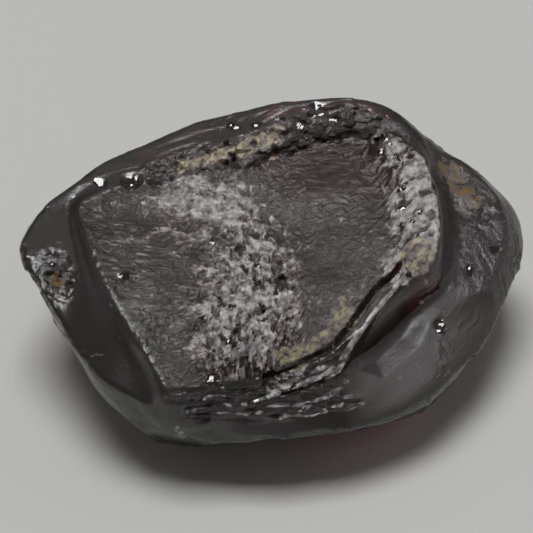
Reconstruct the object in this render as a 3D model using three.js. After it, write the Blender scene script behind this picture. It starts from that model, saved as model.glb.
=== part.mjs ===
// Garnet crystal: one broken, worn piece of dark red almandine garnet, lying on its flattest side.
//
// The stone is a single solid. Seen from above it is a rounded wedge with a pointed left end (-X)
// and a blunt knob at the right end (+X). Its top is one broad, gently dished fracture face that
// leans towards the front (-Y). From that face the surface runs outwards and down over a groove,
// a brow and the widest outline (the girdle), then turns under to a small flat sole.
//
// Lengths are in millimetres, +Z is up, and the origin is on the ground below the stone's middle.

import * as THREE from "three";
import { mergeVertices } from "three/addons/utils/BufferGeometryUtils.js";

// ---- Driving dimensions ----

// The broad top face is lowest near its middle, CROWN_HEIGHT above the ground.
const CROWN_HEIGHT = 4.25;

// The flat sole that the stone lies on: an ellipse on the ground.
const SOLE = { x: 0.1, y: 0.1, halfLength: 3.3, halfWidth: 2.6 };

// The belly lies between the sole and the girdle: its share of the way out, and of the way up.
const BELLY_OUT = 0.66;
const BELLY_UP = 0.3;

// The mesh has STATIONS columns round the stone, and these rows from the crown down to the sole.
const STATIONS = 112;
const ROWS = { face: 9, step: 2, shoulder: 4, flank: 15, sole: 3 };

// ---- Contours ----
// Each contour is a closed line round the stone, anticlockwise from the right-hand end.
// Its points are the places where the line really turns.

// Edge of the broad top face.
const LIP = [
  [4.3, 0.5, 4.9],
  [4.05, 2.15, 5.0],
  [3.3, 3.15, 5.1],
  [2.05, 3.4, 5.1],
  [0.7, 3.1, 5.05],
  [-0.65, 2.2, 5.0],
  [-1.75, 1.85, 4.95],
  [-2.9, 1.4, 4.9],
  [-4.35, 1.05, 4.9],
  [-5.2, 0.5, 4.85],
  [-4.85, -0.9, 4.8],
  [-4.4, -2.2, 4.6],
  [-3.8, -3.3, 4.25],
  [-3.15, -4.3, 3.85],
  [-2.7, -5.1, 3.5],
  [-1.9, -5.0, 3.45],
  [-0.6, -4.75, 3.45],
  [0.6, -4.35, 3.55],
  [1.65, -3.65, 3.7],
  [2.55, -2.8, 3.9],
  [3.35, -2.0, 4.15],
  [4.05, -1.6, 4.35],
  [4.3, -0.8, 4.7],
];

// Foot of the step outside the lip. It drops into a valley at the right-hand end and into a deep
// chip at the front right, and at the back it climbs to a ledge instead.
const GROOVE = [
  [4.75, 0.7, 4.0],
  [4.7, 1.5, 4.1],
  [4.3, 2.75, 4.75],
  [3.4, 3.4, 5.2],
  [2.05, 3.65, 5.3],
  [0.7, 3.35, 5.25],
  [-0.65, 2.55, 5.15],
  [-1.75, 2.2, 5.1],
  [-2.9, 1.85, 4.95],
  [-4.65, 1.4, 4.85],
  [-5.4, 0.65, 4.65],
  [-5.2, -0.55, 4.5],
  [-4.75, -2.05, 4.3],
  [-4.15, -3.2, 3.95],
  [-3.35, -4.35, 3.45],
  [-2.85, -5.2, 3.2],
  [-1.9, -5.1, 3.1],
  [-0.65, -4.85, 3.05],
  [0.65, -4.5, 3.05],
  [1.75, -3.85, 2.95],
  [2.75, -2.95, 2.9],
  [3.6, -1.95, 3.1],
  [4.4, -1.4, 3.55],
  [4.75, -0.1, 3.85],
];

// Outer edge of the upper side: the knob's crest, the back crest, the left-hand edge, the front
// ledge and the chip's outer rim.
const BROW = [
  [6.2, 0.85, 3.9],
  [5.85, 1.8, 4.2],
  [5.2, 2.75, 4.4],
  [4.55, 3.0, 4.6],
  [3.85, 3.55, 4.95],
  [3.05, 4.1, 5.3],
  [1.95, 4.25, 5.5],
  [0.45, 4.05, 5.5],
  [-0.95, 3.75, 5.4],
  [-2.05, 3.45, 5.3],
  [-3.1, 2.9, 5.15],
  [-4.45, 2.15, 5.0],
  [-5.35, 1.3, 4.85],
  [-6.1, 0.55, 4.75],
  [-6.65, -0.8, 4.5],
  [-6.3, -1.5, 4.3],
  [-5.9, -2.25, 4.0],
  [-5.15, -3.35, 3.5],
  [-4.45, -4.3, 3.15],
  [-3.65, -4.85, 3.05],
  [-2.8, -5.25, 2.75],
  [-2.05, -5.3, 2.6],
  [-0.6, -5.15, 2.75],
  [0.6, -5.05, 2.7],
  [1.4, -4.85, 2.65],
  [2.15, -4.6, 2.6],
  [2.75, -4.1, 2.6],
  [3.15, -3.45, 2.7],
  [3.7, -2.9, 2.85],
  [4.05, -2.2, 3.1],
  [4.7, -1.8, 3.3],
  [5.5, -1.25, 3.35],
  [6.1, -0.2, 3.6],
];

// Widest outline of the stone. It is high at the pointed left end and low along the front.
const GIRDLE = [
  [6.7, 1.1, 3.1],
  [6.6, 2.05, 3.1],
  [6.15, 3.2, 2.9],
  [5.4, 4.1, 2.8],
  [4.35, 4.85, 2.9],
  [3.15, 5.45, 3.0],
  [1.9, 5.65, 3.0],
  [0.5, 5.6, 3.0],
  [-1.0, 5.3, 3.0],
  [-2.4, 4.8, 3.1],
  [-3.7, 4.0, 3.2],
  [-5.0, 2.9, 3.5],
  [-5.95, 1.6, 3.8],
  [-6.45, 0.4, 4.1],
  [-6.6, -0.8, 4.3],
  [-5.85, -2.1, 3.6],
  [-5.1, -3.15, 2.9],
  [-4.65, -3.9, 2.4],
  [-4.0, -4.5, 2.1],
  [-3.15, -5.0, 1.9],
  [-1.9, -5.3, 1.9],
  [-0.4, -5.5, 1.9],
  [1.35, -5.3, 2.0],
  [2.65, -4.85, 2.1],
  [3.7, -4.2, 2.2],
  [4.7, -3.25, 2.3],
  [5.55, -2.1, 2.4],
  [6.1, -1.05, 2.6],
  [6.5, 0.0, 2.9],
];

// How loosely each contour swings round its points: 0 is straight between them.
const SWING = { lip: 0.35, groove: 0.4, brow: 0.35, girdle: 0.5 };

// ---- Breaks ----

// Conchoidal spalls: a ball presses each shallow hollow into the flank.
const SPALLS = [
  { name: "left under spall", centre: [-8.2, -5.6, -0.9], radius: 4.6 },
  { name: "back spall", centre: [-3.4, 8.6, 1.2], radius: 4.6 },
  { name: "right under spall", centre: [8.4, -3.6, -0.9], radius: 4 },
];

// Flat breaks: everything beyond each plane is worn down to it. The outward direction is given by
// its azimuth round Z and its tilt above the ground, and reach is the plane's distance from the
// stone's axis at mid height.
const FLATS = [
  { name: "front under flat", azimuth: -80, tilt: -50, reach: 5.8 },
  { name: "right under flat", azimuth: -10, tilt: -38, reach: 5.9 },
  { name: "back under flat", azimuth: 78, tilt: -32, reach: 5.1 },
  { name: "back right flat", azimuth: 42, tilt: 4, reach: 6.3 },
  { name: "left under flat", azimuth: 165, tilt: -40, reach: 5.4 },
];
const MID_HEIGHT = 2.4;

// ---- Surface ----

const TURN = 2 * Math.PI;

// A contour as a function of azimuth, so that contours with different points can be joined.
function contour(points, swing) {
  const SAMPLES = 1440;
  const curve = new THREE.CatmullRomCurve3(
    points.map((p) => new THREE.Vector3(...p)),
    true,
    "catmullrom",
    swing,
  );
  const line = curve.getPoints(SAMPLES).slice(0, SAMPLES);
  const azimuths = line.map((p) => (Math.atan2(p.y, p.x) + TURN) % TURN);
  const start = azimuths.indexOf(Math.min(...azimuths));
  return (azimuth) => {
    const wanted = ((azimuth % TURN) + TURN) % TURN;
    let low = 0;
    let high = SAMPLES - 1;
    while (high - low > 1) {
      const middle = (low + high) >> 1;
      if (azimuths[(start + middle) % SAMPLES] <= wanted) low = middle;
      else high = middle;
    }
    const a = (start + low) % SAMPLES;
    const b = (start + high) % SAMPLES;
    const span = azimuths[b] - azimuths[a];
    const share = span > 0 ? THREE.MathUtils.clamp((wanted - azimuths[a]) / span, 0, 1) : 0;
    return line[a].clone().lerp(line[b], share);
  };
}

// A point on the sole, out from its centre by share of the way to its edge.
function solePoint(azimuth, share) {
  const x = SOLE.x + SOLE.halfLength * share * Math.cos(azimuth);
  const y = SOLE.y + SOLE.halfWidth * share * Math.sin(azimuth);
  return new THREE.Vector3(x, y, 0);
}

const lip = contour(LIP, SWING.lip);
const groove = contour(GROOVE, SWING.groove);
const brow = contour(BROW, SWING.brow);
const girdle = contour(GIRDLE, SWING.girdle);

// All the mesh points at one azimuth, from the crown over the outside to the middle of the sole.
function profile(azimuth) {
  const points = [];
  const edge = lip(azimuth);
  for (let k = 0; k < ROWS.face; k += 1) {
    const share = k / ROWS.face;
    const height = CROWN_HEIGHT + (edge.z - CROWN_HEIGHT) * share * share;
    points.push(new THREE.Vector3(edge.x * share, edge.y * share, height));
  }
  const stepFoot = groove(azimuth);
  for (let k = 0; k < ROWS.step; k += 1) {
    points.push(edge.clone().lerp(stepFoot, k / ROWS.step));
  }
  const crest = brow(azimuth);
  for (let k = 0; k < ROWS.shoulder; k += 1) {
    points.push(stepFoot.clone().lerp(crest, k / ROWS.shoulder));
  }
  const widest = girdle(azimuth);
  const foot = solePoint(azimuth, 1);
  const belly = foot.clone().lerp(widest, BELLY_OUT).setZ(widest.z * BELLY_UP);
  const flank = new THREE.CatmullRomCurve3([crest, widest, belly, foot], false, "centripetal");
  for (let k = 0; k < ROWS.flank; k += 1) {
    points.push(flank.getPoint(k / ROWS.flank));
  }
  for (let k = 0; k <= ROWS.sole; k += 1) {
    points.push(solePoint(azimuth, 1 - k / ROWS.sole));
  }
  return points;
}

// Each spall moves the points inside its ball out to the ball's surface.
function pressSpalls(point) {
  for (const spall of SPALLS) {
    const centre = new THREE.Vector3(...spall.centre);
    const offset = point.clone().sub(centre);
    if (offset.length() < spall.radius) {
      point.copy(centre).add(offset.setLength(spall.radius));
    }
  }
}

// Each flat break moves the points beyond its plane back onto the plane.
function wearFlats(point) {
  for (const flat of FLATS) {
    const azimuth = THREE.MathUtils.degToRad(flat.azimuth);
    const tilt = THREE.MathUtils.degToRad(flat.tilt);
    const outward = new THREE.Vector3(
      Math.cos(tilt) * Math.cos(azimuth),
      Math.cos(tilt) * Math.sin(azimuth),
      Math.sin(tilt),
    );
    const onPlane = new THREE.Vector3(
      flat.reach * Math.cos(azimuth),
      flat.reach * Math.sin(azimuth),
      MID_HEIGHT,
    );
    const beyond = outward.dot(point.clone().sub(onPlane));
    if (beyond > 0) {
      point.addScaledVector(outward, -beyond);
    }
  }
}

// ---- Solid ----
// A ball's grid of rows and columns is reshaped point by point into the stone.

const rowCount = ROWS.face + ROWS.step + ROWS.shoulder + ROWS.flank + ROWS.sole;
const ball = new THREE.SphereGeometry(1, STATIONS, rowCount);
const position = ball.getAttribute("position");
for (let station = 0; station <= STATIONS; station += 1) {
  const points = profile((TURN * (station % STATIONS)) / STATIONS);
  points.forEach((point, row) => {
    if (point.z > 0) {
      pressSpalls(point);
      wearFlats(point);
    }
    position.setXYZ(row * (STATIONS + 1) + station, point.x, point.y, point.z);
  });
}
ball.deleteAttribute("normal");
ball.deleteAttribute("uv");
const stone = mergeVertices(ball, 1e-4);
stone.computeBoundingBox();
const middle = stone.boundingBox.getCenter(new THREE.Vector3());
stone.translate(-middle.x, -middle.y, 0);
stone.computeVertexNormals();

// Almandine garnet: very dark wine red, glassy, not metallic.
const garnet = new THREE.MeshStandardMaterial({
  name: "garnet",
  color: "#3f1d1f",
  roughness: 0.35,
  metalness: 0,
});

const crystal = new THREE.Mesh(stone, garnet);
crystal.name = "garnet_crystal";

const part = new THREE.Group();
part.name = "garnet";
part.add(crystal);

export default part;
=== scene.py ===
# %% [markdown]
# # A broken garnet crystal
#
# This notebook dresses one small stone: a worn, broken piece of dark red almandine garnet,
# 13 mm long, that lies on a pale table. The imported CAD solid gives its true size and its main
# breaks. Here a finer copy of it is sculpted with the marks that a real fracture leaves, and then
# gets a glass-like material that swallows light, because garnet is clear but very dark.

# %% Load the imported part
import math

import bmesh
import bpy
import numpy as np
from mathutils import Matrix, Vector


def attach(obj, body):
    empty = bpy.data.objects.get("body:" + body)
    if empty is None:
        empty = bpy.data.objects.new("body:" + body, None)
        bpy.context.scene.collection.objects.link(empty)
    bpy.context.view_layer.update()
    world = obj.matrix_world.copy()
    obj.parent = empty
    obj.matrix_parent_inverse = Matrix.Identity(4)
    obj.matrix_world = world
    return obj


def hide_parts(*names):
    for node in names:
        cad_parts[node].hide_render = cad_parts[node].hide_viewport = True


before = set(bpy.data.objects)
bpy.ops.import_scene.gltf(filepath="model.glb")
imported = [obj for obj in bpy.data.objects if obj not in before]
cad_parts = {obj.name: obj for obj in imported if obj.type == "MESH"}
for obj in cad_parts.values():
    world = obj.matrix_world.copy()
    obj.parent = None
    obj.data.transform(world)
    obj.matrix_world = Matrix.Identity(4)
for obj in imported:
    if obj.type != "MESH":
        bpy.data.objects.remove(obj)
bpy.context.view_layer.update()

MM = 0.001
cad_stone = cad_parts["garnet_crystal"]

# %% [markdown]
# ## The table
#
# The stone lies on something plain, flat and pale, as a painted board is. One square from the
# grid operator is enough for it. It is matt, so it mirrors nothing, and the stone's soft shadow
# and its faint red glow show clearly on it.


# %% Helpers for colours and nodes
def srgb(hex_colour, alpha=1.0):
    """An sRGB hex colour as the linear colour that Blender's sockets take."""
    parts = [int(hex_colour[i : i + 2], 16) / 255 for i in (1, 3, 5)]
    linear = [c / 12.92 if c <= 0.04045 else ((c + 0.055) / 1.055) ** 2.4 for c in parts]
    return (*linear, alpha)


def add_node(material, kind, settings=None, **links):
    """Adds one node. settings are its properties, and links its sockets' values or sources.

    A socket goes by its name, with _ for a space, or by its number, as in i0.
    """
    node = material.node_tree.nodes.new(kind)
    for name, value in (settings or {}).items():
        setattr(node, name, value)
    for name, value in links.items():
        key = int(name[1:]) if name[0] == "i" and name[1:].isdigit() else name.replace("_", " ")
        socket = node.inputs[key]
        if isinstance(value, bpy.types.Node):
            value = value.outputs[0]
        if isinstance(value, bpy.types.NodeSocket):
            material.node_tree.links.new(value, socket)
        else:
            socket.default_value = value
    return node


def new_material(name):
    """A material with nodes, and none in it yet."""
    material = bpy.data.materials.new(name)
    material.use_nodes = True
    material.node_tree.nodes.clear()
    return material


# %% Pale table top
TABLE_SIZE = 1.2
TABLE_GREY = "#d9d9d7"
TABLE_ROUGHNESS = 0.9

table_mesh = bpy.data.meshes.new("table")
bm = bmesh.new()
bmesh.ops.create_grid(bm, x_segments=1, y_segments=1, size=TABLE_SIZE / 2)
bm.to_mesh(table_mesh)
bm.free()
table = bpy.data.objects.new("table", table_mesh)
bpy.context.collection.objects.link(table)

# Matt paint gives the eye one even grey tone, with no sheen and no grain.
table_paint = new_material("matt pale grey paint")
shader = add_node(
    table_paint, "ShaderNodeBsdfPrincipled", Base_Color=srgb(TABLE_GREY), Roughness=TABLE_ROUGHNESS
)
add_node(table_paint, "ShaderNodeOutputMaterial", Surface=shader)
table_mesh.materials.append(table_paint)
print("table", TABLE_SIZE, "m wide")

# %% [markdown]
# ## The light
#
# A small dark glassy thing is drawn by what it mirrors. One soft lamp straight overhead gives the
# short soft shadow and the bright glints. Dim panels stand round about and lend the other faces a
# faint grey sheen, so that the dark stone keeps its form. An environment picture could do the
# same, but with area lamps it is plain which face mirrors what.


# %% Soft lamps
def softbox(name, place, size, radiance):
    """A square lamp that faces the stone. Its power comes from how bright its face is."""
    data = bpy.data.lights.new(name, "AREA")
    data.shape = "SQUARE"
    data.size = size
    data.energy = radiance * math.pi * size * size
    lamp = bpy.data.objects.new(name, data)
    lamp.location = place
    lamp.rotation_euler = (-Vector(place)).to_track_quat("-Z", "Y").to_euler()
    lamp.visible_camera = False
    bpy.context.collection.objects.link(lamp)
    print(name, "of", round(data.energy, 3), "W")


softbox("overhead lamp", (-0.02, 0.0, 0.30), size=0.13, radiance=10.3)
softbox("back panel", (0.0, 0.45, 0.42), size=0.45, radiance=0.20)
softbox("left panel", (-0.5, 0.1, 0.25), size=0.4, radiance=0.15)
softbox("right panel", (0.5, 0.1, 0.25), size=0.4, radiance=0.45)
softbox("front panel", (0.0, -0.6, 0.20), size=0.4, radiance=0.15)

# %% Dim room
ROOM_GLOW = 0.065

world = bpy.data.worlds.new("dim room")
world.use_nodes = True
room = world.node_tree.nodes["Background"]
room.inputs["Color"].default_value = (1.0, 1.0, 1.0, 1.0)
room.inputs["Strength"].default_value = ROOM_GLOW
bpy.context.scene.world = world
bpy.context.scene.view_settings.view_transform = "Standard"
print("room glow", ROOM_GLOW)

# %% [markdown]
# ## The camera
#
# A close view from a long lens a few centimetres away, looking down at 42 degrees. The camera is
# placed by the point it looks at, its two angles and its distance, which are easier to think about
# than a place and a rotation.

# %% Camera
VIEW_TARGET = Vector((-0.26, 0.13, 2.9)) * MM
VIEW_ELEVATION = math.radians(42.04)
VIEW_AZIMUTH = math.radians(-0.32)
VIEW_ROLL = math.radians(0.36)
VIEW_DISTANCE = 56.46 * MM
LENS = 142.2
SENSOR_WIDTH = 36.0

view_axis = Vector(
    (
        math.cos(VIEW_ELEVATION) * math.sin(VIEW_AZIMUTH),
        math.cos(VIEW_ELEVATION) * math.cos(VIEW_AZIMUTH),
        -math.sin(VIEW_ELEVATION),
    )
)
camera_data = bpy.data.cameras.new("camera")
camera_data.lens = LENS
camera_data.sensor_width = SENSOR_WIDTH
camera_data.clip_start = MM
camera = bpy.data.objects.new("camera", camera_data)
camera.location = VIEW_TARGET - view_axis * VIEW_DISTANCE
facing = view_axis.to_track_quat("-Z", "Y").to_matrix() @ Matrix.Rotation(-VIEW_ROLL, 3, "Z")
camera.rotation_euler = facing.to_euler()
bpy.context.collection.objects.link(camera)
bpy.context.scene.camera = camera
print("camera at", [round(v / MM, 1) for v in camera.location], "mm")

# %% [markdown]
# ## A finer copy of the stone
#
# A real break has marks of every size, and the CAD solid has only the big ones. The small ones
# need many small and even faces, but the solid's own are long thin triangles. So a copy of it is
# merged, its triangles are joined into facets again, and its sharper edges are creased. A
# subdivision surface then rounds it a little, and a voxel remesh lays even faces all over it.
# Sculpting by hand could start from the same mesh. Here the copy is worked on in millimetres.

# %% Merge the copy and crease its sharp edges
MERGE_DISTANCE = 0.002
JOIN_ANGLE = math.radians(40)
CREASE_ANGLE = math.radians(28)
CREASE = 0.8

bm = bmesh.new()
bm.from_mesh(cad_stone.data)
bmesh.ops.remove_doubles(bm, verts=bm.verts, dist=MERGE_DISTANCE * MM)
bmesh.ops.scale(bm, verts=bm.verts, vec=Vector((1, 1, 1)) / MM)
bmesh.ops.join_triangles(
    bm, faces=bm.faces, angle_face_threshold=JOIN_ANGLE, angle_shape_threshold=math.pi
)
crease = bm.edges.layers.float.new("crease_edge")
sharp_edges = [
    edge for edge in bm.edges
    if len(edge.link_faces) == 2 and edge.calc_face_angle() > CREASE_ANGLE
]
for edge in sharp_edges:
    edge[crease] = CREASE
print("merged stone:", len(bm.faces), "facets,", len(sharp_edges), "creased edges")
stone_mesh = bpy.data.meshes.new("garnet stone")
bm.to_mesh(stone_mesh)
bm.free()
stone = bpy.data.objects.new("garnet_stone", stone_mesh)
bpy.context.collection.objects.link(stone)

# %% Lay even faces over it
VOXEL = 0.105


def applied(obj):
    """The object's mesh with its modifiers worked in."""
    graph = bpy.context.evaluated_depsgraph_get()
    return bpy.data.meshes.new_from_object(obj.evaluated_get(graph))


finer = stone.modifiers.new("finer", "SUBSURF")
finer.levels = finer.render_levels = 2
even = stone.modifiers.new("even", "REMESH")
even.mode = "VOXEL"
even.voxel_size = VOXEL
stone.data = applied(stone)
stone.modifiers.clear()
print("even stone:", len(stone.data.polygons), "faces")

# %% [markdown]
# ### Smaller faces where the fine marks lie
#
# The fracture on top has the finest marks. Only the faces that look upwards, and lie above the
# flanks, are split once more. The flanks and the sole are smooth and keep the larger faces, so
# the whole stone stays below 200,000 triangles.

# %% Smaller faces on the upper side
UPWARD = 0.25
ABOVE_FLANKS = 2.3

bm = bmesh.new()
bm.from_mesh(stone.data)
bmesh.ops.smooth_vert(
    bm, verts=bm.verts, factor=0.5, use_axis_x=True, use_axis_y=True, use_axis_z=True
)
upper_faces = [
    f for f in bm.faces if f.normal.z > UPWARD and f.calc_center_median().z > ABOVE_FLANKS
]
upper_edges = list({edge for face in upper_faces for edge in face.edges})
bmesh.ops.subdivide_edges(bm, edges=upper_edges, cuts=1, use_grid_fill=True)
bmesh.ops.triangulate(bm, faces=[f for f in bm.faces if len(f.verts) > 4])
bm.to_mesh(stone.data)
bm.free()
triangles = sum(len(polygon.vertices) - 2 for polygon in stone.data.polygons)
print("refined stone:", len(stone.data.vertices), "points,", triangles, "triangles")

# %% [markdown]
# ## Sculpting tools
#
# The rest of the shape is carved by moving the copy's points, all at once, with NumPy. Each mark
# is described where it lies on the stone, in millimetres seen from above, by how wide it is and
# by how deep it goes. Three kinds of pattern do most of the work: soft grain, sharp-edged shards
# as broken glass has, and plain distance from a drawn line. A displacement texture could make the
# first two, but not in places and directions that follow a crack.


# %% Soft steps and soft grain
LATTICE = 32


def ease(value, low, high):
    """0 below low, 1 above high, and a soft S-curve between. high may be below low."""
    t = np.clip((value - low) / (high - low), 0.0, 1.0)
    return t * t * (3 - 2 * t)


def grain(points, cell, seed):
    """Soft random lumps from -1 to 1. cell is their size in mm, one number or one per axis."""
    lattice = np.random.default_rng(seed).uniform(-1, 1, (LATTICE,) * 3)
    place = points / np.asarray(cell, float)
    base = np.floor(place).astype(int)
    share = place - base
    share = share * share * (3 - 2 * share)
    total = np.zeros(len(points))
    for corner in np.ndindex(2, 2, 2):
        weight = np.prod(np.where(corner, share, 1 - share), axis=1)
        i = (base + corner) % LATTICE
        total += weight * lattice[i[:, 0], i[:, 1], i[:, 2]]
    return total


def worms(points, cell, seed):
    """Thin winding crests from -1 to 1, drawn out along the longer sides of the cell."""
    return 1 - 2 * np.abs(grain(points, cell, seed))


# %% Shards
def shards(points, cell, seed, tilt=0.5):
    """Flat facets at random tilts, as on broken glass: a height in mm for cells of that size."""
    cell = np.broadcast_to(np.asarray(cell, float), 3)
    place = points / cell
    base = np.floor(place).astype(int)
    random = np.random.default_rng(seed).uniform(0, 1, (*(LATTICE,) * 3, 6))
    nearest = np.full(len(points), np.inf)
    height = np.zeros(len(points))
    for corner in np.ndindex(3, 3, 3):
        lattice = base + corner - 1
        i = lattice % LATTICE
        dice = random[i[:, 0], i[:, 1], i[:, 2]]
        offset = place - (lattice + dice[:, :3])
        distance = (offset**2).sum(1)
        slope = (dice[:, 3:] * 2 - 1) * tilt
        here = (slope * offset * cell).sum(1) + (dice[:, 3] - 0.5) * tilt * cell.min() * 0.6
        closer = distance < nearest
        nearest[closer] = distance[closer]
        height[closer] = here[closer]
    return height


# %% Distances in plan
def from_line(points, line):
    """In plan: each point's distance to an open line, and its share of the way along it."""
    line = np.asarray(line, float)
    lengths = np.linalg.norm(np.diff(line, axis=0), axis=1)
    starts = np.concatenate([[0], np.cumsum(lengths)])
    nearest = np.full(len(points), np.inf)
    along = np.zeros(len(points))
    for a, b, length, start in zip(line[:-1], line[1:], lengths, starts):
        step = (b - a) / length
        reach = np.clip((points[:, :2] - a) @ step, 0, length)
        distance = np.linalg.norm(points[:, :2] - a - reach[:, None] * step, axis=1)
        closer = distance < nearest
        nearest[closer] = distance[closer]
        along[closer] = (start + reach)[closer]
    return nearest, along / starts[-1]


def within(points, outline):
    """In plan: each point's distance inside a closed outline, negative outside it."""
    outline = np.asarray(outline, float)
    distance, _ = from_line(points, np.vstack([outline, outline[:1]]))
    across, forward = points[:, 0], points[:, 1]
    inside = np.zeros(len(points), bool)
    for (ax, ay), (bx, by) in zip(outline, np.roll(outline, -1, axis=0)):
        crosses = (ay > forward) != (by > forward)
        rise = by - ay if by != ay else 1.0
        inside ^= crosses & (across < (bx - ax) * (forward - ay) / rise + ax)
    return np.where(inside, distance, -distance)


def spot(points, x, y, radius):
    """In plan: a soft round patch, 1 at its middle and 0 at its edge."""
    return ease(np.hypot(points[:, 0] - x, points[:, 1] - y) / radius, 1.0, 0.0)


# %% Bent directions and level patches
def turned(points, degrees):
    """The points in axes turned about Z: the first runs along that heading, the second across."""
    angle = math.radians(degrees)
    along = points[:, 0] * math.cos(angle) + points[:, 1] * math.sin(angle)
    across = points[:, 1] * math.cos(angle) - points[:, 0] * math.sin(angle)
    return np.column_stack([along, across, points[:, 2]])


def round_about(points, centre, scale):
    """Bent coordinates in mm: across the rays from the centre, along them, and height."""
    x, y = points[:, 0] - centre[0], points[:, 1] - centre[1]
    return np.column_stack([np.arctan2(y, x) * scale, np.hypot(x, y), points[:, 2]])


def level(points, x, y, radius, slope_x, slope_y):
    """In plan: the height that turns a round patch towards a plane of those two slopes."""
    share = spot(points, x, y, radius)
    middle = share > 0.8
    middle &= points[:, 2] > points[middle, 2].max() - 0.3  # leaves out the sole below
    across, forward = points[:, 0] - x, points[:, 1] - y
    plane = points[middle, 2].mean() + slope_x * across + slope_y * forward
    return share * (plane - points[:, 2])


# %% Reading and moving the points
SOLE = 0.02
ABOVE_SOLE = 0.35


def read_points(mesh):
    """The mesh's points and its outward directions."""
    points = np.empty(len(mesh.vertices) * 3)
    mesh.vertices.foreach_get("co", points)
    outward = np.empty(len(mesh.vertices) * 3, np.float32)
    mesh.vertex_normals.foreach_get("vector", outward)
    return points.reshape(-1, 3), outward.reshape(-1, 3).astype(float)


def carve(mesh, height):
    """Moves each point outwards by its height in mm. The flat sole keeps its place."""
    points, outward = read_points(mesh)
    free = ease(points[:, 2], SOLE, ABOVE_SOLE)
    points += outward * (height * free)[:, None]
    mesh.vertices.foreach_set("co", points.ravel())
    mesh.update()
    print("carved from", height.min().round(3), "to", height.max().round(3), "mm")

# %% [markdown]
# ## The broad forms
#
# The main fracture started at one point near the front edge and ran outwards from it. It left a
# low spine straight ahead of that point, two soft hollows to the right, and a swollen shoulder
# where the crack turned down at the right-hand rim. The CAD solid could have them too, but they
# are shallow and have no edges, and pushing the points outwards and inwards leaves no seams.

# %% Lines of the main face
LIP = [
    (4.3, 0.5), (4.05, 2.15), (3.3, 3.15), (2.05, 3.4), (0.7, 3.1), (-0.65, 2.2), (-1.75, 1.85),
    (-2.9, 1.4), (-4.35, 1.05), (-5.2, 0.5), (-4.85, -0.9), (-4.4, -2.2), (-3.8, -3.3),
    (-3.15, -4.3), (-2.7, -5.1), (-1.9, -5.0), (-0.6, -4.75), (0.6, -4.35), (1.65, -3.65),
    (2.55, -2.8), (3.35, -2.0), (4.05, -1.6), (4.3, -0.8),
]
ORIGIN = (-0.9, -3.75)
SPINE = [(-0.85, -3.6), (-0.6, -2.2), (-0.8, -0.8), (-1.5, 0.6), (-2.3, 1.4)]
SHOULDER = [(3.0, 2.7), (3.5, 1.7), (3.75, 0.5), (3.75, -0.6), (3.55, -1.3)]
print("the lip is drawn with", len(LIP), "points")

# %% Broad forms of the main face
SPINE_HEIGHT, SPINE_REACH = 0.10, 1.1
SHOULDER_HEIGHT, SHOULDER_REACH = 0.20, 0.75
HOLLOW_FLOOR, HOLLOW_SLOPE, HOLLOW_MIDDLE = 4.61, 0.08, 1.6

points, outward = read_points(stone.data)
x, y, z = points.T
up = ease(outward[:, 2], 0.15, 0.5)
face = within(points, LIP)
on_face = ease(face, -0.05, 0.25) * up
to_spine, _ = from_line(points, SPINE)
to_shoulder, _ = from_line(points, SHOULDER)
back_hollow = ease(face, -0.1, 0.3) * ease(y, -0.4, HOLLOW_MIDDLE)
back_hollow *= ease(x, -1.3, 0.5) * ease(x, 3.1, 2.3)
height = on_face * (
    SPINE_HEIGHT * ease(to_spine, SPINE_REACH, 0.0)
    + SHOULDER_HEIGHT * ease(to_shoulder, SHOULDER_REACH, 0.1)
    + 0.9 * back_hollow * (HOLLOW_FLOOR + HOLLOW_SLOPE * (y - HOLLOW_MIDDLE) - z)
    + 0.8 * level(points, -2.2, -4.1, 1.3, 0.05, 0.0)
    + 0.6 * level(points, 1.3, -1.4, 1.2, 0.03, 0.02)
    + 0.05 * grain(points, 1.6, 11)
    + 0.02 * grain(points, 0.7, 13)
)
height += (0.04 * grain(points, 1.3, 12) + 0.015 * grain(points, 0.6, 14)) * (1 - on_face)
height += 0.8 * (1 - on_face) * up * level(points, 5.0, 1.8, 1.0, -0.1, 0.08)
carve(stone.data, height)

# %% [markdown]
# ## The front rim, the chip and the ledges
#
# A thin sliver stands along the front right lip, with a dark crack behind it. Outside it a deep
# curved chip has broken away, and further left the break goes down in narrow steps. Each is drawn
# as a line or an outline, and the distance from it says how high or deep the stone is there. A
# boolean cut would give the chip too, but its rim would be sharper than on a worn stone.

# %% Lines of the front rim
RIDGE = [
    (3.43, -1.57), (2.81, -2.35), (2.52, -2.72), (2.02, -3.42), (1.53, -3.99), (0.69, -4.45),
    (-0.21, -4.84),
]
CRACK = [
    (3.26, -1.39), (2.6, -1.99), (2.27, -2.5), (1.83, -3.22), (1.38, -3.79), (0.62, -4.24),
    (-0.25, -4.66),
]
CREVICE = [(0.5, -4.95), (1.2, -4.85), (2.1, -4.6)]
CHIP = RIDGE[:4] + [
    (2.1, -3.75), (2.74, -3.85), (3.17, -3.37), (3.7, -2.89), (3.96, -2.32), (3.86, -2.07),
]
print("the chip is drawn with", len(CHIP), "points")

# %% Ridge, crack, chip and crevice
RIDGE_HEIGHT, CRACK_DEPTH, CREVICE_DEPTH = 0.08, 0.25, 0.1
CHIP_SLOPE, CHIP_REACH = 0.22, 0.6

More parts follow.
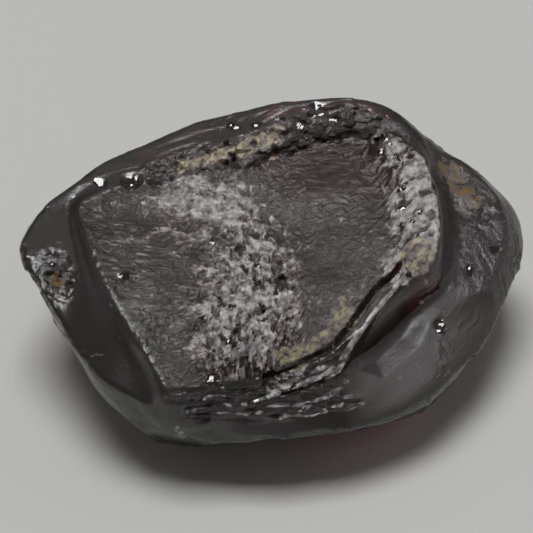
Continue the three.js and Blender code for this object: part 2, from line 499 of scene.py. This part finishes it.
points, outward = read_points(stone.data)
x, y, z = points.T
face = within(points, LIP)
to_ridge, _ = from_line(points, RIDGE)
to_crack, along_crack = from_line(points, CRACK)
to_crevice, _ = from_line(points, CREVICE)
in_chip = within(points, CHIP)
high = ease(outward[:, 2], 0.0, 0.3)
jagged = to_crevice + 0.1 * grain(points, 0.3, 24)
height = -CRACK_DEPTH * ease(to_crack, 0.13, 0.04) * high * ease(along_crack, 0.0, 0.05)
height += RIDGE_HEIGHT * ease(to_ridge, 0.10, 0.0) * high
height -= CHIP_SLOPE * np.clip(in_chip, 0, CHIP_REACH) * high
height -= CREVICE_DEPTH * ease(jagged, 0.12, 0.03) * ease(z, 2.2, 2.4)
print("the chip is", round(CHIP_SLOPE * min(in_chip.max(), CHIP_REACH), 3), "mm deep")

# %% Broken steps along the front
STEP = 0.2
STEP_DEPTH = 0.06

front = ease(x, -2.9, -2.4) * ease(x, 2.4, 0.6)
front *= ease(y, -3.6, -4.3) * ease(z, 2.5, 2.65) * ease(face, 0.0, -0.06)
steps = (z + 0.10 * grain(points, (0.9, 0.5, 0.5), 21)) / STEP
slivers = 0.22 * shards(points, (0.8, 0.16, 0.12), 22, tilt=0.8)
slivers += 0.015 * grain(points, (0.4, 0.12, 0.12), 23)
height += front * STEP_DEPTH * (ease(steps % 1.0, 0.0, 0.8) - 0.5)
height += front * slivers
carve(stone.data, height)

# %% [markdown]
# ## Hackles, ripples and frost
#
# Close to the origin the crack ran fast and tore the face into hackles, slivers that all point
# away from the origin. They scatter light and look frosted. Further left the crack slowed and
# left fine curved ripples, and on the right shoulder short wrinkles.
#
# The patterns follow the crack and not the axes, so each is worked out in its own bent
# coordinates: round a point in front of the stone for the hackles, and round the struck corner
# for the ripples. The same coordinates are stored on the points later, so that the material can
# lay its finer grain along them.

# %% Where each kind of break lies
STRUCK_CORNER = (-3.9, 3.6)
FAN_CENTRE = (-0.7, -6.6)
FAN_SCALE, ARC_SCALE = 4.5, 4.0

points, outward = read_points(stone.data)
x, y, z = points.T
up = ease(outward[:, 2], 0.15, 0.5)
face = within(points, LIP)
on_face = ease(face, 0.0, 0.12) * up
to_spine, _ = from_line(points, SPINE)
to_shoulder, _ = from_line(points, SHOULDER)
away = np.hypot(x - ORIGIN[0], y - ORIGIN[1])

hackle = ease(to_spine, 2.0, 0.2) * ease(y, 1.2, -1.4)
upper = np.maximum(spot(points, -2.4, 1.15, 1.2), spot(points, -1.3, 0.9, 1.1))
left = ease(x, -1.0, -2.4)
wrinkled = ease(to_shoulder, 0.95, 0.6)
smooth_hollow = np.maximum(spot(points, 0.9, 1.9, 1.9), spot(points, 1.4, -1.5, 1.1))
feathers = ease(away, 1.6, 0.9) * ease(y, -3.6, -4.0)
print("hackles on", round(float((hackle * on_face > 0.3).mean()) * 100, 1), "% of the points")

# %% Patterns along the crack
fan = round_about(points, FAN_CENTRE, FAN_SCALE)
arcs = round_about(points, STRUCK_CORNER, ARC_SCALE)
jitter = np.column_stack([grain(points, 0.25, seed) for seed in (31, 32, 33)])
bent = points + 0.10 * jitter
fan_bent, arcs_bent = fan + 0.12 * jitter, arcs + 0.10 * jitter
tears = worms(fan_bent, (0.22, 0.50, 0.4), 38)
small_tears = worms(fan_bent, (0.11, 0.22, 0.3), 37)
ripples = worms(arcs_bent, (0.5, 0.13, 0.4), 39)
wrinkles = worms(turned(bent, 50), (0.5, 0.12, 0.5), 41)
slivers = shards(fan_bent, (0.2, 0.40, 0.6), 35, 0.9)
plumes = worms(round_about(points, ORIGIN, 1.0), (0.16, 0.8, 0.5), 44)
print("tears from", tears.min().round(2), "to", tears.max().round(2))

# %% Fine relief of the main face
fine = on_face * (
    hackle * (0.55 + 0.4 * ease(y, -1.0, -2.8))
    * (0.065 * tears + 0.03 * small_tears + 0.48 * slivers)
    + upper * (0.030 * small_tears + 0.4 * shards(bent, (0.2, 0.12, 0.3), 42, 0.8))
    + left * (1 - hackle) * (0.013 * ripples + 0.014 * small_tears)
    + feathers * 0.02 * plumes
    + (1 - left) * (1 - hackle) * (1 - 0.5 * smooth_hollow) * 0.013 * small_tears
    + wrinkled * (0.034 * wrinkles + 0.018 * small_tears)
)
fine += 0.025 * ease(np.abs(face), 0.15, 0.03) * ease(x, -2.4, -2.9) * grain(points, 0.12, 45)
carve(stone.data, fine)

# %% [markdown]
# ## The back ledge, the right-hand lobe and the flanks
#
# Behind the main face the stone broke along a rough ledge, with a few pits where grains of
# another mineral fell out. The right-hand lobe has faint arcs round a small knob. The flanks are
# old breaks, worn until only broad soft facets are left. All of these are shards of one size or
# another: deep and close together on the ledge, wide and shallow on the flanks.

# %% Back ledge and pits
LEDGE = [
    (-3.2, 1.6), (-2.4, 1.95), (-1.4, 2.25), (-0.5, 2.55), (0.3, 3.05), (1.2, 3.5), (1.9, 3.6),
    (2.7, 3.3),
]
PITS = [(-3.85, 1.35, 0.26), (-4.65, 1.25, 0.14), (-3.2, 1.62, 0.18), (-2.65, 1.85, 0.14)]

points, outward = read_points(stone.data)
x, y, z = points.T
up = ease(outward[:, 2], 0.1, 0.4)
face = within(points, LIP)
to_ledge, _ = from_line(points, LEDGE)
ledge = ease(to_ledge, 0.5, 0.3) * up
broken = 0.6 * shards(points, (0.42, 0.2, 0.3), 51, tilt=0.8) + 0.02 * worms(points, 0.12, 50)
height = ledge * broken
for pit_x, pit_y, radius in PITS:
    pit = spot(points, pit_x, pit_y, radius * 1.4) * up
    height -= pit * (0.6 * radius - 0.9 * shards(points, radius * 0.6, 52, tilt=1.0))
behind = ease(face, -0.35, -0.5) * ease(y - 0.35 * x, 1.9, 2.3) * up
beside_lip = np.column_stack([x, face, z])
height += behind * 0.010 * worms(beside_lip, (1.2, 0.14, 0.5), 53)
print("ledge on", round(float((ledge > 0.3).mean()) * 100, 1), "% of the points")

# %% Lobe and knob
KNOB = (3.62, -1.3)

lobe = ease(face, -0.05, -0.3) * ease(x, 3.9, 4.3) * up
knob_arcs = round_about(points, KNOB, 1.5)
height += lobe * 0.012 * worms(knob_arcs + 0.08 * jitter, (0.7, 0.16, 0.6), 55)
lobe_patches = ease(grain(points, 0.7, 57), 0.0, 0.4)
height += lobe * 0.3 * shards(points, 0.2, 56, tilt=0.6) * lobe_patches
height += spot(points, *KNOB, 0.55) * up * (0.10 + 0.05 * grain(points, 0.13, 58))
print("lobe on", round(float((lobe > 0.3).mean()) * 100, 1), "% of the points")

# %% Flanks and left corner
LEFT_CORNER = (-5.5, -1.6)

flank = ease(outward[:, 2], 0.35, 0.0) * ease(z, 0.1, 0.5) * ease(in_chip, 0.1, -0.1)
height += flank * 0.3 * shards(points, (1.7, 1.7, 1.1), 61, tilt=0.22)
height += flank * 0.010 * worms(points, (1.3, 1.3, 0.12), 62)
left_corner = spot(points, *LEFT_CORNER, 1.15) * up * ease(face, -0.5, -0.8)
height += left_corner * (0.7 * shards(points, 0.2, 63, tilt=0.8) - 0.05)
carve(stone.data, height)

# %% [markdown]
# ## Glints
#
# A few small cleavage faces happen to lie just so that they mirror the lamp. Each is a little
# plane pressed into the stone, leaning 24 degrees towards the viewer. The largest have a place of
# their own, and many tiny ones are strewn over the torn parts by a seeded draw. A bright colour
# would be quicker, but it would shine from every side, and these flash only from one.

# %% Small mirror faces
GLINTS = [
    (-3.85, 1.3, 0.24), (-4.75, 1.35, 0.13), (-3.25, 1.55, 0.13), (-2.55, 1.75, 0.13),
    (-1.15, 3.15, 0.15), (-0.55, 3.2, 0.14), (0.65, 3.25, 0.20), (1.2, 3.75, 0.24),
    (1.6, 3.55, 0.18), (-3.85, -2.05, 0.16), (-5.8, -1.35, 0.09), (4.16, -2.35, 0.14),
    (5.75, -0.05, 0.11), (5.05, -0.85, 0.11), (-1.6, -4.75, 0.12), (-0.5, -4.95, 0.10),
    (0.4, -4.75, 0.10),
]
STREWN, STREWN_RADIUS = 34, 0.065
GLINT_SLOPE = (0.03, 0.45)
GLINT_SPREAD = 1.6

points, outward = read_points(stone.data)
torn = np.flatnonzero(on_face * np.maximum(hackle, 0.8 * wrinkled) > 0.5)
for i in np.random.default_rng(77).choice(torn, STREWN):
    GLINTS.append((*points[i, :2], STREWN_RADIUS))
height, shine = np.zeros(len(points)), np.zeros(len(points))
uneven = points + jitter * (0.09, 0.09, 0)
here = ease(outward[:, 2], 0.3, 0.5)
for glint_x, glint_y, radius in GLINTS:
    reach = radius * GLINT_SPREAD
    height += here * level(uneven, glint_x, glint_y, reach, *GLINT_SLOPE)
    shine = np.maximum(shine, here * ease(spot(uneven, glint_x, glint_y, reach), 0.15, 0.4))
carve(stone.data, height)
print(len(GLINTS), "glints")

# %% [markdown]
# ## Where it is frosted, stained and rough
#
# The real stone is frosted where it is torn, olive, gold and tan where clay has dried in its
# hollows, redder where it is clean and smooth, and satin where it is worn. Each finish is painted
# on the points as a number from 0 to 1, which the material reads as an attribute. Weight painting
# by hand would do the same. The material breaks each patch up with its own finer grain, so the
# masks can be soft. Tooth is how strongly a surface would catch on a fingernail.

# %% Frost
PURPLE = [(-0.8, 2.4), (0.7, 3.2), (2.6, 3.3), (3.0, 1.5), (2.0, 0.8), (0.3, 0.9)]

points, outward = read_points(stone.data)
x, y, z = points.T
up = ease(outward[:, 2], 0.1, 0.4)
face = within(points, LIP)
blotch = grain(points, 0.4, 72)
cloud = grain(points, 1.0, 73)
crest = ease(fine, -0.02, 0.03)
chip = ease(in_chip, -0.05, 0.05)
purple = ease(within(points, PURPLE), -0.7, 0.5)

frost = on_face * (
    0.35
    - 0.05 * left * (1 - hackle)
    - 0.07 * ease(x, 0.0, 1.5)
    + hackle * (0.08 + 0.34 * crest + 0.20 * ease(y, -1.8, -2.8))
    + upper * (0.56 + 0.20 * crest)
    + left * 0.10 * crest
    + wrinkled * ease(y, 3.3, 1.9) * (0.20 + 0.2 * crest + 0.30 * wrinkles)
    - 0.25 * smooth_hollow
    - 0.2 * purple
    - 0.22 * ease(face, 0.9, 0.2) * ease(y, -2.4, -3.6)
    # Less frost along the left lip: painted shade, so the narrow band beside the lip reads darker.
    - 0.25 * ease(face, 0.4, 0.1) * ease(x, -2.6, -3.4)
)
frost += (1 - on_face) * up * (1 - chip) * (0.08 + 0.10 * cloud)
frost = np.maximum(frost, 0.9 * ease(to_ridge, 0.09, 0.04) * up)
# No frost in the crack: it is carved and shaded by its depth, and taking the frost out paints more
# shade into it.
frost *= 1 - 0.9 * ease(to_crack, 0.14, 0.06)
frost = np.clip(frost * (1 + 0.25 * blotch) * (1 - 0.55 * purple) * (1 - shine), 0, 1)
print("frost up to", round(float(frost.max()), 2))

# %% Olive, gold and tan stains
OLIVE = [(2.55, -1.7), (1.95, -2.2), (1.6, -3.0), (1.0, -3.75), (0.3, -4.1)]
GOLD_ARC = [(5.0, 0.4), (4.95, -0.3), (4.7, -0.8)]

to_olive, along_olive = from_line(points, OLIVE)
olive = up * ease(to_olive + 0.2 * blotch, 0.5, 0.1) * (0.62 + 0.33 * ease(along_olive, 0.1, 0.5))
to_gold, _ = from_line(points, GOLD_ARC)
gold = 0.7 * ease(to_gold + 0.1 * blotch, 0.3, 0.05)
gold += 1.1 * spot(points, 4.75, 2.2, 1.1) + 1.1 * spot(points, 5.2, 1.4, 0.9)
gold += 0.6 * spot(points, 1.7, 3.6, 0.35) + 1.2 * spot(points, -5.7, -1.8, 0.6)
gold = np.clip(gold, 0, 1) * up * ease(face, 0.05, -0.1)
tan = ease(to_ledge + 0.2 * blotch, 0.5, 0.1) * ease(x, -3.1, -2.5)
tan *= ease(x, 0.6, 0.0) * up
tan += 1.5 * spot(points, *KNOB, 0.9) + 0.9 * spot(points, -0.6, -3.7, 0.7)
tan += 0.9 * spot(points, -2.45, -5.3, 0.5) * ease(z, 2.6, 2.4)
tan += 0.6 * spot(points, -4.2, -2.9, 0.3) + 0.6 * spot(points, -3.8, -3.6, 0.3)
tan = np.clip(np.maximum(tan, on_face * (0.34 * hackle + 0.42 * wrinkled)), 0, 1)
print("stains up to", [round(float(stain.max()), 2) for stain in (olive, gold, tan)])

# %% Redness, satin facets and tooth
dull = ease(x, -4.9, -4.3)
off_face = 1 - on_face
red = up * np.clip(0.35 * on_face + 0.65 * purple, 0, 1) * ease(to_ledge, 0.2, 0.6)
lower_right = ease(x, 1.5, 2.5) * ease(y, -1.2, -1.8) * off_face
lower_right *= up * (1 - 0.4 * chip) * ease(to_ridge, 0.05, 0.15)
left_lip = ease(np.abs(face), 0.14, 0.05) * ease(x, -2.5, -2.9) * ease(y, 1.4, 1.0)
matt = np.clip(0.05 * off_face + 0.9 * lower_right + 0.3 * left_lip, 0, 1)

rough_parts = 0.12 * up * dull + 0.4 * lobe + 0.5 * ledge + 0.3 * front
tooth = np.clip(on_face * (1 - 0.35 * smooth_hollow) + rough_parts, 0, 1)
tooth = np.maximum(tooth * (1 - 0.25 * purple), 0.8 * left_corner) * (1 - chip)
tooth *= 1 - 0.35 * spot(points, -3.6, -3.4, 1.5)
tooth = np.maximum(tooth, 0.12 * up * dull * off_face + 0.12 * lower_right)
back_wall = ease(face, 0.5, 0.3) * ease(face, -0.5, -0.2) * ease(y, 1.8, 2.4)
back_wall *= ease(x, -0.6, 0.4) * up
tooth = np.maximum(tooth, 0.8 * back_wall)
print("tooth from", round(float(tooth.min()), 2), "to", round(float(tooth.max()), 2))


# %% Store the masks on the points
def paint(mesh, name, values):
    """Stores one number, or one place in mm, per point for the material to read."""
    kind, field = ("FLOAT", "value") if values.ndim == 1 else ("FLOAT_VECTOR", "vector")
    layer = mesh.attributes.new(name, kind, "POINT")
    layer.data.foreach_set(field, np.ascontiguousarray(values, np.float32).ravel())


MASKS = {
    "frost": frost,
    "olive": olive,
    "gold": gold,
    "tan": tan,
    "red": red,
    "tooth": tooth,
    "shine": shine,
    "hackled": on_face * np.maximum(hackle, 1 - left),
    "skin": up * (1 + 1.5 * ledge + 0.5 * lower_right) * (1 - 0.4 * chip),
    "matt": matt * (1 - shine),
}
BENT_PLACES = {"fan": fan, "arcs": arcs}
for name, values in (MASKS | BENT_PLACES).items():
    paint(stone.data, name, values)
    print(name, "from", round(float(values.min()), 2), "to", round(float(values.max()), 2))

# %% Flat faces where it is torn
SMOOTH_BELOW = 0.45

# A face that isn't smoothed keeps its edges, which makes the torn parts look crisp and broken.
corners = np.empty(len(stone.data.loops), np.int32)
stone.data.loops.foreach_get("vertex_index", corners)
starts = np.empty(len(stone.data.polygons), np.int32)
stone.data.polygons.foreach_get("loop_start", starts)
mottled = (tooth + 0.35 * grain(points, 0.13, 74))[corners[starts]]
stone.data.polygons.foreach_set("use_smooth", mottled < SMOOTH_BELOW)
print("smooth faces:", int((mottled < SMOOTH_BELOW).sum()), "of", len(mottled))

# %% [markdown]
# ## The garnet
#
# Almandine garnet is a glassy iron silicate with an IOR of about 1.78. It is clear, but iron
# soaks up all but a little deep red, so 5 mm of it is almost black: the colour is in the volume
# and not on the surface. Dark paint would look alike from one side, but thin edges would not glow
# red. Where the surface is torn, tiny cracks turn it grey, and dried clay covers it in places.
# Both are mixed in as a rough, less clear finish.
#
# Two kinds of noise draw them. One is bent along the crack by the stored coordinates and makes
# the grain of the torn face. The other is plain crumbs of a tenth to a half of a millimetre, and
# makes the clay.

# %% Masks in the material
garnet = new_material("almandine garnet")
painted = {
    name: add_node(garnet, "ShaderNodeAttribute", {"attribute_name": name})
    for name in (*MASKS, *BENT_PLACES)
}
mask = {name: painted[name].outputs["Fac"] for name in MASKS}
print("masks read:", ", ".join(mask))

# %% Grain that follows the crack
GRIT, CRUMB, CLUMP = 1 / 11, 1 / 4.5, 1 / 2.2
FAN_GRAIN, ARC_GRAIN = 1 / 7.5, 1 / 8.5

NOISE, MATH, MIX = "ShaderNodeTexNoise", "ShaderNodeMath", "ShaderNodeMix"
TIMES, TIMES_PLUS = {"operation": "MULTIPLY"}, {"operation": "MULTIPLY_ADD"}

place = add_node(garnet, "ShaderNodeTexCoord").outputs["Object"]
fine_noise = add_node(
    garnet, NOISE, Vector=place, Scale=1 / (GRIT * MM), Detail=4.0, Roughness=0.65
)
clump_noise = add_node(garnet, NOISE, Vector=place, Scale=1 / (CLUMP * MM), Detail=3.0)
crumb_noise = add_node(
    garnet, NOISE, Vector=place, Scale=1 / (CRUMB * MM), Detail=4.0, Distortion=0.5
)
bent_noise = {}
for name, squeeze, size in (
    ("fan", (1.0, 0.45, 0.3), FAN_GRAIN), ("arcs", (0.65, 1.0, 0.3), ARC_GRAIN),
):
    bent_place = add_node(
        garnet, "ShaderNodeMapping", Vector=painted[name].outputs["Vector"], Scale=squeeze
    )
    bent_noise[name] = add_node(
        garnet, NOISE, Vector=bent_place, Scale=1 / size, Detail=5.0, Roughness=0.7,
        Distortion=0.8,
    )
print("grain of", [round(size, 2) for size in (GRIT, FAN_GRAIN, ARC_GRAIN, CRUMB, CLUMP)], "mm")

# %% Torn grain and clay crumbs
torn_noise = add_node(
    garnet, MIX, i0=mask["hackled"], i2=bent_noise["arcs"], i3=bent_noise["fan"]
)
torn_noise = add_node(garnet, MATH, TIMES, i0=torn_noise, i1=0.8)
torn_noise = add_node(garnet, MATH, TIMES_PLUS, i0=clump_noise, i1=0.3, i2=torn_noise)
crust_noise = add_node(garnet, MATH, TIMES, i0=fine_noise, i1=0.3)
crust_noise = add_node(garnet, MATH, TIMES_PLUS, i0=crumb_noise, i1=0.7, i2=crust_noise)
print("grain and crumbs mixed from", len(bent_noise) + 3, "noises")

# %% [markdown]
# ### Flecks
#
# Frost and clay don't fade in: they are thick or they aren't there. So each mask is added to its
# noise, and what passes a threshold becomes a fleck. The more paint, the more flecks, until they
# join up. A colour ramp on the mask alone would give a smooth smear.

# %% Flecks of frost and clay
FLECK_REACH = 0.42
FLECKS = {
    "frost": (torn_noise, 0.73, 8.0),
    "olive": (crust_noise, 0.79, 7.0),
    "gold": (crust_noise, 0.84, 9.0),
    "tan": (crust_noise, 0.79, 7.0),
}

flecks = {}
for name, (grain_here, start, sharp) in FLECKS.items():
    reach = add_node(garnet, MATH, TIMES_PLUS, i0=mask[name], i1=FLECK_REACH, i2=-start)
    above = add_node(garnet, MATH, {"operation": "ADD"}, i0=grain_here, i1=reach)
    flecks[name] = add_node(garnet, MATH, TIMES | {"use_clamp": True}, i0=above, i1=sharp)
print("flecks:", ", ".join(flecks))

# %% [markdown]
# ### Colour, clearness, roughness and bump
#
# A see-through shader takes its base colour as a tint of the light that enters. So the skin of
# the stone gets a pale tint, a redder one in the clean hollow, and the depth does the rest. Each
# fleck is mottled from a dark to a light tone of its own. Where flecks cover the stone it is less
# clear and rougher. The bump is only for marks below a tenth of a millimetre, since the carving
# has made the larger ones.

# %% Colour
SKIN_GREY, SKIN_RED, CLEAN = "#9a8c8c", "#9c5058", "#eedede"
FINISHES = {
    "frost": ("#6c6668", "#fffafa"),
    "olive": ("#1a1712", "#ada482"),
    "gold": ("#0e0b07", "#7d5c22"),
    "tan": ("#241e18", "#cbbda2"),
}
BLEND = {"data_type": "RGBA"}

speckle = add_node(garnet, "ShaderNodeMapRange", i0=crust_noise, i1=0.38, i2=0.63)
colour = add_node(
    garnet, MIX, BLEND, i0=mask["red"], i6=srgb(SKIN_GREY), i7=srgb(SKIN_RED)
).outputs[2]
colour = add_node(garnet, MIX, BLEND, i0=mask["skin"], i6=srgb(CLEAN), i7=colour).outputs[2]
for name, (dark, light) in FINISHES.items():
    crust = add_node(garnet, MIX, BLEND, i0=speckle, i6=srgb(dark), i7=srgb(light)).outputs[2]
    colour = add_node(garnet, MIX, BLEND, i0=flecks[name], i6=colour, i7=crust).outputs[2]
print(len(FINISHES), "finishes over the skin")

# %% Clearness and roughness
FROST_COVER, STAIN_COVER, SKIN_COVER = 0.66, 0.85, 0.08
POLISH, TOOTH_ROUGHNESS, COVER_ROUGHNESS, MATT_ROUGHNESS = 0.17, 0.10, 0.35, 0.36
MIRROR = -0.4

GREATER = {"operation": "MAXIMUM"}
stains = add_node(garnet, MATH, GREATER, i0=flecks["gold"], i1=flecks["tan"])
stains = add_node(garnet, MATH, GREATER, i0=flecks["olive"], i1=stains)
frost_cover = add_node(garnet, MATH, TIMES, i0=flecks["frost"], i1=FROST_COVER)
stain_cover = add_node(garnet, MATH, TIMES, i0=stains, i1=STAIN_COVER)
cover = add_node(garnet, MATH, GREATER, i0=frost_cover, i1=stain_cover)
cover = add_node(garnet, MATH, TIMES_PLUS, i0=mask["skin"], i1=SKIN_COVER, i2=cover)
MINUS = {"operation": "SUBTRACT", "use_clamp": True}
clear = add_node(garnet, MATH, MINUS, i0=1.0, i1=cover)

rough = add_node(garnet, MATH, TIMES_PLUS, i0=mask["tooth"], i1=TOOTH_ROUGHNESS, i2=POLISH)
rough = add_node(garnet, MATH, TIMES_PLUS, i0=cover, i1=COVER_ROUGHNESS, i2=rough)
rough = add_node(garnet, MATH, TIMES_PLUS, i0=mask["matt"], i1=MATT_ROUGHNESS, i2=rough)
rough = add_node(
    garnet, MATH, TIMES_PLUS | {"use_clamp": True}, i0=mask["shine"], i1=MIRROR, i2=rough
)
print("roughness from", POLISH, "on clean glassy breaks")

# %% Bump
BUMP_HEIGHT = 0.06
BUMP_ON_TOOTH, BUMP_ELSEWHERE = 0.85, 0.08

tooth_height = add_node(garnet, MATH, TIMES_PLUS, i0=fine_noise, i1=0.5, i2=torn_noise)
bump_share = add_node(
    garnet, MATH, TIMES_PLUS, i0=mask["tooth"], i1=BUMP_ON_TOOTH, i2=BUMP_ELSEWHERE
)
bump_share = add_node(garnet, MATH, MINUS, i0=bump_share, i1=mask["shine"])
bump = add_node(
    garnet, "ShaderNodeBump", Strength=bump_share, Distance=BUMP_HEIGHT * MM, Height=tooth_height
)
print("bump of", BUMP_HEIGHT, "mm")

# %% Garnet
GARNET_IOR = 1.78
GARNET_RED = "#dd352d"
ABSORBED_PER_METRE = 1750.0

# Almandine, broken and worn: glassy glints on the clean breaks, a frosty grey where it is torn,
# and a body that looks black except where it is thin, which shows a deep wine red.
shader = add_node(
    garnet, "ShaderNodeBsdfPrincipled", IOR=GARNET_IOR, Base_Color=colour,
    Transmission_Weight=clear, Roughness=rough, Normal=bump,
)
depth = add_node(
    garnet, "ShaderNodeVolumeAbsorption", Color=srgb(GARNET_RED), Density=ABSORBED_PER_METRE
)
add_node(garnet, "ShaderNodeOutputMaterial", Surface=shader, Volume=depth)
print("garnet:", len(garnet.node_tree.nodes), "nodes")

# %% [markdown]
# ## Into the frame
#
# The finished stone goes back from millimetres to metres, rides the part's only body, and stands
# in for the CAD solid in the same place.

# %% Back to metres and into the frame
stone.data.transform(Matrix.Scale(MM, 4))
stone.data.materials.clear()
stone.data.materials.append(garnet)
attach(stone, "root")
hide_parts("garnet_crystal")
